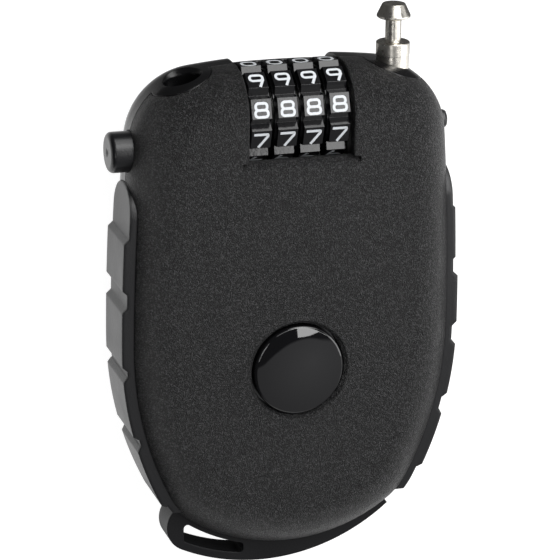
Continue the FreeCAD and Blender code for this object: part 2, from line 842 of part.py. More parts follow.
def tooth(index, face, width, extra, length):
    """One clutch tooth, a small block at the sleeve's rim, at the right-hand end of a dial."""
    end = dial_centre(index) + dial_width / 2
    low = end - tooth_zone
    block = box(
        low if extra == 0.0 else low - 0.1, end if extra == 0.0 else end + 0.1,
        dial_y - width / 2, dial_y + width / 2,
        dial_z + dial_bore_radius - 0.6, dial_z + dial_relief_radius - 0.15 + extra)
    angle = math.degrees(sector_angle(index, face))
    block.rotate(Vector(0, dial_y, dial_z), X_AXIS, -angle)
    return block


def sleeve_length():
    return dial_pitch - sleeve_play


def code_sleeve(index):
    """A sleeve that turns with its dial: a chamber for the fin, then a web with one gate."""
    x = dial_centre(index) - sleeve_length() / 2
    body = cylinder(dial_bore_radius - running_gap, (x, dial_y, dial_z), X_AXIS, sleeve_length())
    chamber = sleeve_length() - sleeve_web
    tools = [
        cylinder(sleeve_chamber_radius, (x - 1, dial_y, dial_z), X_AXIS, chamber + 1),
        cylinder(spindle_radius + slide_gap, (x - 1, dial_y, dial_z), X_AXIS, sleeve_length() + 2),
        box(x, x + sleeve_length() + 1, dial_y - gate_width / 2, dial_y + gate_width / 2,
            dial_z, dial_z + fin_radius + slide_gap),
    ]
    return joined([body, tooth(index, 0, tooth_width, 0.0, tooth_zone)]).cut(tools)


def stack_half():
    return (dial_count - 1) / 2 * dial_pitch + sleeve_length() / 2


def plate_x():
    """Inner face of the frame's side plates."""
    return window_half_width + frame_side_gap


def latch_spindle():
    left = latch_block_x + latch_block_width
    right = plate_x() + frame_plate + 0.15
    shaft = cylinder(spindle_radius, (left, dial_y, dial_z), X_AXIS, right - left)
    parts = [shaft]
    for index in range(dial_count):
        x = dial_centre(index) - sleeve_length() / 2 + 0.1
        parts.append(box(
            x, x + fin_thickness, dial_y - fin_width / 2, dial_y + fin_width / 2,
            dial_z, dial_z + fin_radius))
    parts.append(cylinder(
        spindle_radius - 0.5, (left - latch_block_width, dial_y, dial_z), X_AXIS, latch_block_width))
    return joined(parts)


def latch_bolt():
    """The block that the button pushes, with the blade that drops behind the pin's head."""
    x = latch_block_x
    top = latch_blade_y + latch_blade_height
    high = socket_z + latch_blade_depth / 2
    block = box(x, x + latch_block_width, release_y - latch_block_margin, top, latch_block_low_z, high)
    tip = -socket_x + pin_neck_radius
    blade = box(tip, x + 0.2, latch_blade_y, top, high - latch_blade_depth, high)
    edge = [e for e in blade.Edges
            if abs(e.BoundBox.XMax - tip) < 1e-6 and abs(e.BoundBox.YMin - top) < 1e-6]
    blade = blade.makeChamfer(0.6, edge)
    tools = [
        cylinder(spindle_radius - 0.5 + press_gap, (x - 1, dial_y, dial_z), X_AXIS, 4.0),
        cylinder(release_spigot_radius + press_gap, (x - 1, release_y, release_z), X_AXIS, 4.0),
    ]
    return joined([block, blade]).cut(tools)


def dial_frame():
    inner = plate_x()
    outer = inner + frame_plate
    parts = []
    for low, high in ((-outer, -inner), (inner, outer)):
        side = box(low, high, frame_bar_y_high - 0.5, frame_y_high, frame_z_low, frame_z_high)
        rim = [e for e in side.Edges
               if e.BoundBox.XLength > frame_plate / 2 and abs(e.BoundBox.YMin - frame_y_high) < 1e-6]
        parts.append(side.makeFillet(2.5, rim))
    parts.append(box(-outer, outer, frame_bar_y_low, frame_bar_y_high, frame_z_low, frame_bar_z_high))
    frame = joined(parts)
    middle = (frame_bar_y_low + frame_bar_y_high) / 2
    pocket = tube(
        dial_bore_radius + slide_gap, frame_hub_radius, (-sleeve_pocket_x(), dial_y, dial_z), X_AXIS,
        sleeve_pocket_x() - inner + 1.0)
    tools = [
        cylinder(spindle_radius + running_gap, (-outer - 1, dial_y, dial_z), X_AXIS, 4.0),
        pocket,
        cylinder(fork_boss_radius + slide_gap, (inner - 1, dial_y, dial_z), X_AXIS, 4.0),
    ]
    for x in (-frame_screw_x, frame_screw_x):
        tools.append(cylinder(screw_radius + slide_gap, (x, middle, 0), Z_AXIS, 20.0))
    return frame.cut(tools)


def sleeve_pocket_x():
    """Depth of the pocket that the first sleeve moves into, on top of its flattened spring."""
    return stack_half() + code_travel + 2 * sleeve_spring_wire + 0.06


def sleeve_spring():
    """A conical coil that goes flat: it keeps the row of sleeves against the fork."""
    length = sleeve_pocket_x() - stack_half()
    return coil(
        frame_hub_radius + 0.25, sleeve_spring_wire, 2, length - 2 * press_gap,
        (-sleeve_pocket_x() + press_gap, dial_y, dial_z), X_AXIS,
        dial_bore_radius - 0.5)


def frame_screws():
    middle = (frame_bar_y_low + frame_bar_y_high) / 2
    length = frame_bar_z_high - frame_screw_tip_z
    return Part.makeCompound([
        screw(x, middle, frame_bar_z_high, True, length) for x in (-frame_screw_x, frame_screw_x)])


def detent_spring():
    """A leaf with one finger for each dial, its bump resting in a groove."""
    leaf_y = frame_bar_y_high
    width = (dial_count - 1) * dial_pitch + detent_finger
    blade = box(
        -width / 2, width / 2, leaf_y, leaf_y + detent_leaf, detent_low_z, frame_bar_z_high - 0.3)
    slits = []
    for index in range(dial_count - 1):
        x = (dial_centre(index) + dial_centre(index + 1)) / 2
        slit = (dial_pitch - detent_finger) / 2
        slits.append(box(x - slit, x + slit, leaf_y - 1, leaf_y + 1, detent_low_z - 1, detent_root_z))
    blade = blade.cut(slits)
    bumps = []
    flank = math.atan2(corner_height() - dial_groove_radius, groove_half_width())
    rise = (detent_bead_radius + running_gap) / math.cos(flank)
    for index in range(dial_count):
        x = dial_centre(index) - detent_bead_length / 2
        angle = sector_angle(index, 7) - math.pi / dial_faces
        bead = around(angle, dial_groove_radius + rise, x)
        bumps.append(cylinder(detent_bead_radius, tuple(bead), X_AXIS, detent_bead_length))
        bumps.append(box(
            x, x + detent_bead_length, leaf_y + detent_leaf / 2, bead.y,
            bead.z - detent_leaf, bead.z + detent_leaf))
    return joined([blade] + bumps)


def release_button():
    """A round push button: domed end with a dimple, guide, stop flange and push rod."""
    end = release_end_x
    flange = release_seat_x + slide_gap - end
    block = latch_block_x - press_gap - end
    points = [
        (0.3, 0.0), (0.12, 0.45), (0.0, 0.8), (0.0, release_radius),
        (flange, release_radius), (flange, release_flange_radius),
        (flange + release_flange_thickness, release_flange_radius),
        (flange + release_flange_thickness, release_rod_radius),
        (block, release_rod_radius), (block, release_spigot_radius),
        (block + latch_block_width - 0.1, release_spigot_radius),
        (block + latch_block_width - 0.1, 0.0),
    ]
    body = turned(points, (end, release_y, release_z), X_AXIS)
    rim = [e for e in body.Edges
           if abs(e.BoundBox.XMax - end) < 1e-6 and e.BoundBox.ZMax > release_z + release_radius - 0.01]
    body = body.makeFillet(release_rim_round, rim)
    flat_y = release_y + release_radius
    return body.cut(box(end + flange - 0.01, 0.0, flat_y, flat_y + 3.0, 0.0, 20.0))


def release_spring():
    start = release_seat_x + slide_gap + release_flange_thickness + press_gap
    length = release_rib_x - press_gap - start
    return coil(1.85, 0.2, 3, length, (start, release_y, release_z), X_AXIS)


def code_set_pin():
    flange = code_end_x - (code_seat_x - slide_gap)
    inner = flange + code_flange_thickness
    points = [
        (0.0, 0.0), (0.0, code_pin_radius - 0.5), (0.15, code_pin_radius - 0.15),
        (0.5, code_pin_radius), (flange, code_pin_radius), (flange, code_flange_radius),
        (inner, code_flange_radius), (inner, code_rod_radius),
        (code_end_x - fork_x(), code_rod_radius), (code_end_x - fork_x(), 0.0),
    ]
    return turned(points, (code_end_x, code_y, code_z), X_AXIS * -1)


def fork_x():
    return plate_x() + frame_plate + code_travel + 0.15


def reset_fork():
    """The plate on the code set pin whose boss pushes the row of sleeves."""
    x = fork_x()
    arm = box(
        x, x + fork_plate,
        code_y - code_rod_radius - fork_margin, dial_y + fork_boss_radius + fork_margin / 2,
        code_z - code_rod_radius - fork_margin, dial_z + fork_boss_radius + fork_margin / 2)
    boss_start = stack_half() + slide_gap
    boss = cylinder(fork_boss_radius, (boss_start, dial_y, dial_z), X_AXIS, x + 0.5 - boss_start)
    tools = [
        cylinder(spindle_radius + running_gap, (0, dial_y, dial_z), X_AXIS, 30.0),
        cylinder(code_rod_radius + press_gap, (x - 1, code_y, code_z), X_AXIS, 3.0),
    ]
    return joined([arm, boss]).cut(tools)


def code_spring():
    start = code_rib_x + press_gap
    end = code_seat_x - slide_gap - code_flange_thickness - press_gap
    return coil(1.45, 0.17, 5, end - start, (start, code_y, code_z), X_AXIS)


def ejector():
    bottom = ejector_top_y - ejector_height
    radius = socket_radius - slide_gap
    body = cylinder(radius, (-socket_x, bottom, socket_z), Y_AXIS, ejector_height)
    hollow = ejector_height - ejector_crown + 1
    return body.cut(cylinder(radius - 0.5, (-socket_x, bottom - 1, socket_z), Y_AXIS, hollow))


def ejector_spring():
    length = ejector_top_y - ejector_crown - socket_floor_y - 2 * press_gap
    return coil(
        1.8, 0.15, 2.5, length, (-socket_x, socket_floor_y + press_gap, socket_z), Y_AXIS)


# Pin, cable and reel

def locking_pin():
    """Turned from bar: a tapered head with a short lip, a neck and the collar."""
    neck_top = pin_cone_height + pin_lip_height
    collar_top = neck_top + pin_neck_height
    bottom = collar_top + pin_collar_height
    points = [
        (0.0, 0.0), (0.0, pin_tip_radius - 0.1), (0.1, pin_tip_radius),
        (pin_cone_height, pin_radius), (neck_top - 0.2, pin_radius), (neck_top, pin_radius - 0.25),
        (neck_top, pin_neck_radius + 0.15), (neck_top + 0.15, pin_neck_radius),
        (collar_top - 0.2, pin_neck_radius), (collar_top, pin_neck_radius + 0.2),
        (collar_top, pin_radius - 0.12), (collar_top + 0.12, pin_radius),
        (collar_top + pin_collar_free, pin_radius), (collar_top + pin_collar_free, pin_guide_radius),
        (bottom - 0.2, pin_guide_radius), (bottom, pin_guide_radius - 0.2),
        (bottom, ferrule_radius() + press_gap),
        (bottom - 4.0, ferrule_radius() + press_gap), (bottom - 4.0, 0.0),
    ]
    return turned(points, (socket_x, pin_top_y, socket_z), Y_AXIS * -1)


def ferrule_radius():
    return cable_radius + 0.6


def pin_bottom_y():
    return pin_top_y - pin_cone_height - pin_lip_height - pin_neck_height - pin_collar_height


def pin_ferrule():
    """The sleeve crimped on the cable's end, inside the collar."""
    return tube(
        ferrule_radius(), cable_radius + press_gap, (socket_x, pin_bottom_y(), socket_z), Y_AXIS, 3.8)


def exit_bush():
    top = pin_bottom_y() - slide_gap
    bush = tube(
        pin_guide_radius + running_gap - press_gap, cable_radius + 0.3,
        (socket_x, top - bush_height, socket_z), Y_AXIS, bush_height)
    return bush


def winding_radius():
    return winding_start_radius + (winding_half_turns - 1) * winding_pitch / 2


def lead_start_angle():
    """Where the cable leaves the outer turn so that it points at the bend under the exit."""
    dx = socket_x
    dy = cable_guide_y - reel_y
    return math.atan2(dy, dx) - math.acos(winding_radius() / math.hypot(dx, dy))


def cable_winding():
    place = (0.0, reel_y)
    edges = spiral_edges(
        winding_start_radius, winding_pitch, winding_half_turns, place, lead_start_angle(), cable_z)
    length = sum(e.Length for e in edges)
    print("winding: length %.0f mm, tightest radius %.1f mm, least gap %.2f mm" % (
        length, winding_start_radius, least_gap(edges, 2 * cable_radius)))
    start = edges[0].valueAt(edges[0].FirstParameter)
    way = edges[0].tangentAt(edges[0].FirstParameter)
    section = Part.Wire(Part.makeCircle(cable_radius, start, way))
    return Part.Wire(edges).makePipeShell([section], True, False)


def winding_mean_radius():
    return winding_start_radius + (winding_half_turns - 1) * winding_pitch / 4


def cable_crimp():
    """The crimp on the cable's inner end, against the hub."""
    edges = spiral_edges(
        winding_start_radius, winding_pitch, winding_half_turns, (0.0, reel_y), lead_start_angle(),
        cable_z)
    start = edges[0].valueAt(edges[0].FirstParameter)
    way = edges[0].tangentAt(edges[0].FirstParameter)
    return Part.makeCylinder(cable_radius + 0.1, 1.3, start - way * 1.3, way)


def cable_lead():
    """The cable from the outer turn to the pin: a straight run, one gentle bend, a straight run."""
    angle = lead_start_angle()
    start = point_on((0.0, reel_y), winding_radius(), angle, cable_z)
    corner = Vector(socket_x, cable_guide_y, cable_z)
    end = Vector(socket_x, pin_bottom_y() + 3.6, cable_z)
    first = (corner - start) / (corner - start).Length
    last = (end - corner) / (end - corner).Length
    half = math.acos(first.dot(last)) / 2
    reach = cable_guide_bend * math.tan(half)
    bend_start = corner - first * reach
    bend_end = corner + last * reach
    edges = [
        Part.LineSegment(start, bend_start).toShape(),
        arc_from(bend_start, first, bend_end),
        Part.LineSegment(bend_end, end).toShape(),
    ]
    print("lead: length %.1f mm, bend radius %.0f mm" % (sum(e.Length for e in edges), cable_guide_bend))
    section = Part.Wire(Part.makeCircle(cable_radius, start, first))
    return Part.Wire(edges).makePipeShell([section], True, False)


def channel():
    low = cable_z - cable_radius - channel_play
    return low, low + 2 * (cable_radius + channel_play)


def cable_reel():
    """The lower flange with its hub, the drum for the power spring and the skirt that it turns on."""
    low, high = channel()
    flange_low = low - reel_plate
    centre = (0, reel_y)
    parts = [
        tube(reel_radius, reel_bore_radius, (*centre, flange_low), Z_AXIS, reel_plate),
        tube(hub_radius, reel_bore_radius, (*centre, flange_low), Z_AXIS, high - flange_low),
        tube(reel_neck_radius, reel_bore_radius, (*centre, flange_low), Z_AXIS,
             high + reel_plate - flange_low),
        tube(hub_radius, skirt_bore_radius, (*centre, skirt_bottom_z), Z_AXIS,
             flange_low - skirt_bottom_z + 0.1),
        tube(drum_radius, drum_radius - drum_wall, (*centre, drum_bottom_z), Z_AXIS,
             flange_low - drum_bottom_z + 0.1),
    ]
    return joined(parts)


def reel_cap():
    high = channel()[1]
    cap = tube(reel_radius, reel_neck_radius + press_gap, (0, reel_y, high), Z_AXIS, reel_plate)
    holes = []
    for k in range(6):
        angle = math.radians(60 * k)
        x = 13.5 * math.cos(angle)
        y = reel_y + 13.5 * math.sin(angle)
        holes.append(cylinder(2.5, (x, y, high - 1), Z_AXIS, 4.0))
    return cap.cut(holes)


def thrust_washer():
    return tube(hub_radius, skirt_bore_radius, (0, reel_y, floor_wall), Z_AXIS,
                skirt_bottom_z - floor_wall - press_gap)


def power_spring():
    """A flat strip wound on edge between the fixed arbor and the reel's drum."""
    half_turns = 2 * power_spring_turns
    start = arbor_radius + power_spring_pitch / 2 + free_gap
    place = (0.0, reel_y)
    inner = spiral_edges(
        start, power_spring_pitch, half_turns, place, 0.0, power_spring_z_low)
    outer = spiral_edges(
        start, power_spring_pitch, half_turns, place, 0.0, power_spring_z_low, power_spring_strip)
    print("power spring: length %.0f mm, least gap %.2f mm" % (
        sum(e.Length for e in inner), least_gap(inner, power_spring_strip)))
    first = Part.LineSegment(
        outer[0].valueAt(outer[0].FirstParameter), inner[0].valueAt(inner[0].FirstParameter)).toShape()
    last = Part.LineSegment(
        inner[-1].valueAt(inner[-1].LastParameter), outer[-1].valueAt(outer[-1].LastParameter)).toShape()
    wire = Part.Wire(Part.__sortEdges__(inner + [last] + outer + [first]))
    return Part.Face(wire).extrude(Z_AXIS * power_spring_height)


def brake_button():
    """The round button: bevelled rim, flat face, stop flange with two keys, and stem."""
    top = case_depth + button_proud
    flange_top = cavity_top_z - slide_gap
    flange_low = flange_top - button_flange_thickness
    stem_end = brake_top_z() - brake_pad_thickness
    hollow_top = top - button_radius ** 2 / (2 * button_dome_radius) - 1.5
    points = [
        (top, 0.0), (top, button_radius), (flange_top, button_radius),
        (flange_top, button_flange_radius), (flange_low, button_flange_radius),
        (flange_low, button_radius - 1.4), (hollow_top, button_radius - 1.4),
        (hollow_top, button_stem_radius + 1.0), (flange_low, button_stem_radius + 1.0),
        (flange_low, button_stem_radius), (stem_end, button_stem_radius), (stem_end, 0.0),
    ]
    body = turned(points, (0, reel_y, 0), Z_AXIS)
    ball = Part.makeSphere(button_dome_radius, Vector(0, reel_y, top - button_dome_radius))
    body = body.common(ball)
    rim = [e for e in body.Edges
           if e.BoundBox.ZMax > case_depth and e.BoundBox.ZLength < 0.01 and e.BoundBox.XLength > 5.0]
    body = body.makeFillet(button_rim_round, rim)
    keys = []
    for side in (-1, 1):
        low, high = sorted((side * (button_flange_radius - 0.3), side * key_reach))
        keys.append(box(
            low, high, reel_y - key_width / 2, reel_y + key_width / 2, flange_low, flange_top))
    bore = cylinder(screw_radius + press_gap, (0, reel_y, stem_end - 1), Z_AXIS, 6.5)
    return joined([body] + keys).cut(bore)


def brake_top_z():
    """Top of the pad, just under the reel's web."""
    return channel()[0] - reel_plate - slide_gap


def brake_pad():
    low = brake_top_z() - brake_pad_thickness
    return tube(brake_disc_radius - 0.1, button_stem_radius + 1.0, (0, reel_y, low), Z_AXIS,
                brake_pad_thickness)


def brake_disc():
    low = brake_top_z() - brake_pad_thickness - brake_disc_thickness
    return tube(brake_disc_radius, screw_radius + slide_gap, (0, reel_y, low), Z_AXIS,
                brake_disc_thickness)


def stem_screw():
    low = brake_top_z() - brake_pad_thickness - brake_disc_thickness
    return screw(0, reel_y, low, False, brake_disc_thickness + stem_screw_bite)


def brake_spring():
    top = brake_top_z() - brake_pad_thickness - brake_disc_thickness
    return coil(
        brake_spring_radius, brake_spring_wire / 2, 4, top - floor_wall, (0, reel_y, floor_wall), Z_AXIS)


def build():
    pieces = {
        "front_shell": front_shell(),
        "back_shell": back_shell(),
        "left_grip": grip_strip(-1, left_lugs, False),
        "right_grip": grip_strip(1, right_lugs, True),
        "lanyard_foot": lanyard_foot(),
        "case_screws": case_screws(),
        "dial_frame": dial_frame(),
        "frame_screws": frame_screws(),
        "detent_spring": detent_spring(),
        "latch_spindle": latch_spindle(),
        "latch_bolt": latch_bolt(),
        "release_button": release_button(),
        "release_spring": release_spring(),
        "sleeve_spring": sleeve_spring(),
        "code_set_pin": code_set_pin(),
        "reset_fork": reset_fork(),
        "code_spring": code_spring(),
        "ejector": ejector(),
        "ejector_spring": ejector_spring(),
        "exit_bush": exit_bush(),
        "locking_pin": locking_pin(),
        "pin_ferrule": pin_ferrule(),
        "cable_lead": cable_lead(),
        "cable_winding": cable_winding(),
        "cable_crimp": cable_crimp(),
        "cable_reel": cable_reel(),
        "reel_cap": reel_cap(),
        "thrust_washer": thrust_washer(),
        "power_spring": power_spring(),
        "brake_button": brake_button(),
        "brake_disc": brake_disc(),
        "brake_pad": brake_pad(),
        "brake_spring": brake_spring(),
        "stem_screw": stem_screw(),
    }
    for index in range(dial_count):
        pieces["dial_%d" % (index + 1)] = dial(index)
        pieces["code_sleeve_%d" % (index + 1)] = code_sleeve(index)
    return pieces


def main():
    os.makedirs("parts", exist_ok=True)
    for name, shape in build().items():
        shape.exportStep("parts/%s.step" % name)
        print("%-16s solids %d valid %s volume %.1f" % (
            name, len(shape.Solids), shape.isValid(), shape.Volume))


main()
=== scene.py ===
"""Retractable cable lock: looks, digits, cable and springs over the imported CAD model.

Metres, in the CAD model's frame: X right across the face, Y up the face, Z out of it,
Z = 0 on the flat back. Sizes below are in millimetres and are turned to metres by MM.
"""
import math
import bpy
import numpy as np
from mathutils import Matrix, Vector


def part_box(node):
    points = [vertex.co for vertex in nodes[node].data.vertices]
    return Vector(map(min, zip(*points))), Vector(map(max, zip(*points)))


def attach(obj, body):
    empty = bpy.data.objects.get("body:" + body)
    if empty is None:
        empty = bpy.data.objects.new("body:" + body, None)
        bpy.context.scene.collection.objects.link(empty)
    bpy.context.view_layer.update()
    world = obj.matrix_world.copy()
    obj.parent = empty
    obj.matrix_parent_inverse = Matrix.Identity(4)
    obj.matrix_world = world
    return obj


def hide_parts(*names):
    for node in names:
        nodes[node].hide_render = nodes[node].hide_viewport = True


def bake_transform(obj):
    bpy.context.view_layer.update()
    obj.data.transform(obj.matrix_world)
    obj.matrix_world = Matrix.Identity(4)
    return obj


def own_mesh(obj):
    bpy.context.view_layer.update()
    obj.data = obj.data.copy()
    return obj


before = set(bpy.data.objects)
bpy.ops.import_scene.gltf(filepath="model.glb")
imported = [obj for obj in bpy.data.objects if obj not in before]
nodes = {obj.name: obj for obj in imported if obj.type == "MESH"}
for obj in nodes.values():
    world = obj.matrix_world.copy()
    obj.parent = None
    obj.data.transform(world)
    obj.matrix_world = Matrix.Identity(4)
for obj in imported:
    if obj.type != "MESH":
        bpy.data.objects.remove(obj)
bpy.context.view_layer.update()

MM = 0.001

# Sizes shared with the CAD model, in millimetres
DIAL_AXIS_Y = 28.45
DIAL_AXIS_Z = 9.6
DIAL_CENTRES = (-6.195, -2.065, 2.065, 6.195)
DIAL_LAND_APOTHEM = 7.66
DIAL_FACE_TURN = 18.9
LAST_DIAL_EXTRA_TURN = 1.5
REEL_Y = -11.0
CABLE_Z = 10.1
CABLE_RADIUS = 0.8
EXIT_X = 16.8


# Surfaces

def link_mesh(name, verts, faces):
    """A mesh and its object, from points in millimetres."""
    mesh = bpy.data.meshes.new(name)
    mesh.from_pydata((verts * MM).tolist(), [], faces)
    mesh.validate()
    mesh.update()
    piece = bpy.data.objects.new(name, mesh)
    bpy.context.scene.collection.objects.link(piece)
    return piece


def grid_piece(name, points, closed=False, caps=False):
    """A smooth mesh from points[row, column]: each neighbouring four are one face.

    Columns run round the section and rows along the length, so that faces look outwards. A closed
    section joins its last column to its first, and caps close the first and the last row.
    """
    rows, columns = points.shape[:2]
    index = np.arange(rows * columns).reshape(rows, columns)
    if closed:
        index = np.hstack([index, index[:, :1]])
    quads = np.stack(
        [index[:-1, :-1], index[:-1, 1:], index[1:, 1:], index[1:, :-1]], axis=-1).reshape(-1, 4)
    faces = quads.tolist()
    if caps:
        faces.append(index[0, :columns][::-1].tolist())
        faces.append(index[-1, :columns].tolist())
    piece = link_mesh(name, points.reshape(-1, 3), faces)
    piece.data.polygons.foreach_set("use_smooth", np.full(len(piece.data.polygons), True))
    return piece


def headings(path):
    """Unit direction at each point of a path, from its neighbours."""
    way = np.gradient(path, axis=0)
    return way / np.linalg.norm(way, axis=1, keepdims=True)


def swept_tube(name, path, side, section):
    """A closed section carried along a path.

    A point is path + side * section_x + (way x side) * section_y, for each row of the path and
    each point of the section.
    """
    way = headings(path)
    side = side - way * np.sum(side * way, axis=1, keepdims=True)
    side = side / np.linalg.norm(side, axis=1, keepdims=True)
    up = np.cross(way, side)
    points = (path[:, None, :]
              + side[:, None, :] * section[None, :, 0, None]
              + up[:, None, :] * section[None, :, 1, None])
    return grid_piece(name, points, closed=True, caps=True)


def round_section(radius, count):
    """Points of a circle, radius * (cos t, sin t)."""
    turn = np.linspace(0, 2 * np.pi, count, endpoint=False)
    return radius * np.stack([np.cos(turn), np.sin(turn)], axis=1)


def strip_section(width, height, edge=0.05):
    """A flat strip's section: a rectangle with its corners cut by edge."""
    w = width / 2
    h = height / 2
    return np.array([
        (w, -h + edge), (w, h - edge), (w - edge, h), (-w + edge, h),
        (-w, h - edge), (-w, -h + edge), (-w + edge, -h), (w - edge, -h)])


# Cable

WINDING_START_RADIUS = 8.3
WINDING_PITCH = 2.05
WINDING_HALF_TURNS = 13
WINDING_OUTER_RADIUS = WINDING_START_RADIUS + (WINDING_HALF_TURNS - 1) * WINDING_PITCH / 2
CABLE_GUIDE_Y = 22.0
LEAD_END_Y = 34.35
LEAD_MEETS_AXIS_OVER_GUIDE = 3.6
STEPS_PER_HALF_TURN = 48
LEAD_BEND_STEPS = 60
LEAD_STRAIGHT_STEPS = 260
WOUND_CABLE_SIDES = 20
CABLE_LEAD_SIDES = 24


def lead_angle():
    """Where the cable leaves the outer turn, so that it points at the bend under the exit."""
    dy = CABLE_GUIDE_Y - REEL_Y
    return math.atan2(dy, EXIT_X) - math.acos(WINDING_OUTER_RADIUS / math.hypot(EXIT_X, dy))


def spiral_path(start_radius, pitch, half_turns, last_angle, z):
    """Half circles outwards: radius start + k * pitch / 2, each about a centre half a pitch aside.

    The last half circle ends at last_angle. Returned are the path and its outward direction.
    """
    share = np.linspace(0, half_turns, half_turns * STEPS_PER_HALF_TURN + 1)
    k = np.minimum(np.floor(share).astype(int), half_turns - 1)
    radius = start_radius + k * pitch / 2
    turn = last_angle + np.pi * (share - half_turns)
    aside = np.where((half_turns - k) % 2 == 0, -pitch / 2, 0.0)
    x = aside * math.cos(last_angle) + radius * np.cos(turn)
    y = REEL_Y + aside * math.sin(last_angle) + radius * np.sin(turn)
    path = np.stack([x, y, np.full_like(x, z)], axis=1)
    side = np.stack([np.cos(turn), np.sin(turn), np.zeros_like(turn)], axis=1)
    return path, side


def cable_winding():
    """The wound cable: a round section along half circles that grow by half a pitch each."""
    path, side = spiral_path(
        WINDING_START_RADIUS, WINDING_PITCH, WINDING_HALF_TURNS, lead_angle(), CABLE_Z)
    return swept_tube("wound_cable", path, side, round_section(CABLE_RADIUS, WOUND_CABLE_SIDES))


def cable_lead():
    """The cable from the winding to the pin: a curve to the exit's axis, then a straight run.

    The curve is cubic, the sum of its four points weighted by (1-t)^3, 3t(1-t)^2, 3t^2(1-t)
    and t^3.
    """
    angle = lead_angle()
    start = np.array([
        WINDING_OUTER_RADIUS * math.cos(angle),
        REEL_Y + WINDING_OUTER_RADIUS * math.sin(angle),
        CABLE_Z])
    heading = np.array([-math.sin(angle), math.cos(angle), 0.0])
    meeting = np.array([EXIT_X, CABLE_GUIDE_Y + LEAD_MEETS_AXIS_OVER_GUIDE, CABLE_Z])
    reach = np.linalg.norm(meeting - start) / 3
    second = start + heading * reach
    third = meeting - np.array([0.0, reach, 0.0])
    t = np.linspace(0, 1, LEAD_BEND_STEPS)[:, None]
    bend = ((1 - t) ** 3 * start + 3 * t * (1 - t) ** 2 * second
            + 3 * t ** 2 * (1 - t) * third + t ** 3 * meeting)
    up_the_bore = np.linspace(meeting[1], LEAD_END_Y, LEAD_STRAIGHT_STEPS)[1:]
    straight = np.tile(meeting, (len(up_the_bore), 1))
    straight[:, 1] = up_the_bore
    path = np.vstack([bend, straight])
    side = np.tile([1.0, 0.0, 0.0], (len(path), 1))
    return swept_tube("cable_run", path, side, round_section(CABLE_RADIUS, CABLE_LEAD_SIDES))


# Springs

COIL_STEPS_PER_TURN = 40
WIRE_SIDES = 12


def coil_spring(node, mean_radius, wire_radius, turns, axis, end_radius=None):
    """A compression spring in the box of its node: a helix, its radius growing evenly if conical.

    A point at angle a is middle + radius * (cos a, sin a) across the axis, and the climb times a
    along it. A conical spring stands on the dials' axis.
    """
    low, high = [np.array(corner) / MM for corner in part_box(node)]
    middle = (low + high) / 2
    axis = np.array(axis, float)
    along = int(np.argmax(axis))
    u = np.array([0.0, 1.0, 0.0]) if along == 0 else np.array([1.0, 0.0, 0.0])
    v = np.cross(axis, u)
    length = high[along] - low[along]
    start = middle + axis * (low[along] + wire_radius - middle[along])
    if end_radius is not None:
        start[1:] = (DIAL_AXIS_Y, DIAL_AXIS_Z)
    turn = np.linspace(0, 2 * np.pi * turns, int(turns * COIL_STEPS_PER_TURN) + 1)[:, None]
    radius = mean_radius + ((end_radius or mean_radius) - mean_radius) * turn / turn[-1]
    out = u * np.cos(turn) + v * np.sin(turn)
    path = start + out * radius + axis * (length - 2 * wire_radius) * turn / turn[-1]
    return swept_tube("wire_" + node, path, out, round_section(wire_radius, WIRE_SIDES))


POWER_SPRING_START = 9.4
POWER_SPRING_PITCH = 1.0
POWER_SPRING_HALF_TURNS = 22
POWER_SPRING_STRIP = 0.25


def power_spring():
    """A flat strip on edge, wound in half circles that grow by half a pitch each."""
    low, high = [np.array(corner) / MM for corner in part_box("power_spring")]
    path, side = spiral_path(
        POWER_SPRING_START + POWER_SPRING_STRIP / 2, POWER_SPRING_PITCH, POWER_SPRING_HALF_TURNS,
        0.0, (low[2] + high[2]) / 2)
    return swept_tube(
        "wound_strip", path, side, strip_section(POWER_SPRING_STRIP, high[2] - low[2]))


# Digits

DIGIT_HEIGHT = 2.5
DIGIT_WIDTH = 2.4
DIGIT_DROP = 0.17
DIGIT_STEP = 36
FRONT_DIGIT = 8
STROKE_WIDTH = 0.42
STROKE_PROUD = 0.02
STROKE_SUNK = 0.03
STROKE_LIFT = 0.003
SAME_POINT = 1e-6


def rounded_line(corners, radii, closed=False, steps=8):
    """A line through corners, each turned by an arc of its radius."""
    corners = np.array(corners, float)
    count = len(corners)
    runs = []
    for i in range(count):
        here = corners[i]
        if not closed and i in (0, count - 1):
            runs.append(here[None])
            continue
        before = corners[i - 1] - here
        after = corners[(i + 1) % count] - here
        first = before / np.linalg.norm(before)
        last = after / np.linalg.norm(after)
        half = math.acos(np.clip(first @ last, -1, 1)) / 2
        reach = radii[i] / math.tan(half)
        middle = (first + last) / np.linalg.norm(first + last)
        centre = here + middle * radii[i] / math.sin(half)
        a = here + first * reach - centre
        b = here + last * reach - centre
        sweep = math.atan2(a[0] * b[1] - a[1] * b[0], a @ b)
        turn = sweep * np.linspace(0, 1, steps + 1)[:, None]
        runs.append(centre + a * np.cos(turn) + np.array([-a[1], a[0]]) * np.sin(turn))
    return np.vstack(runs)


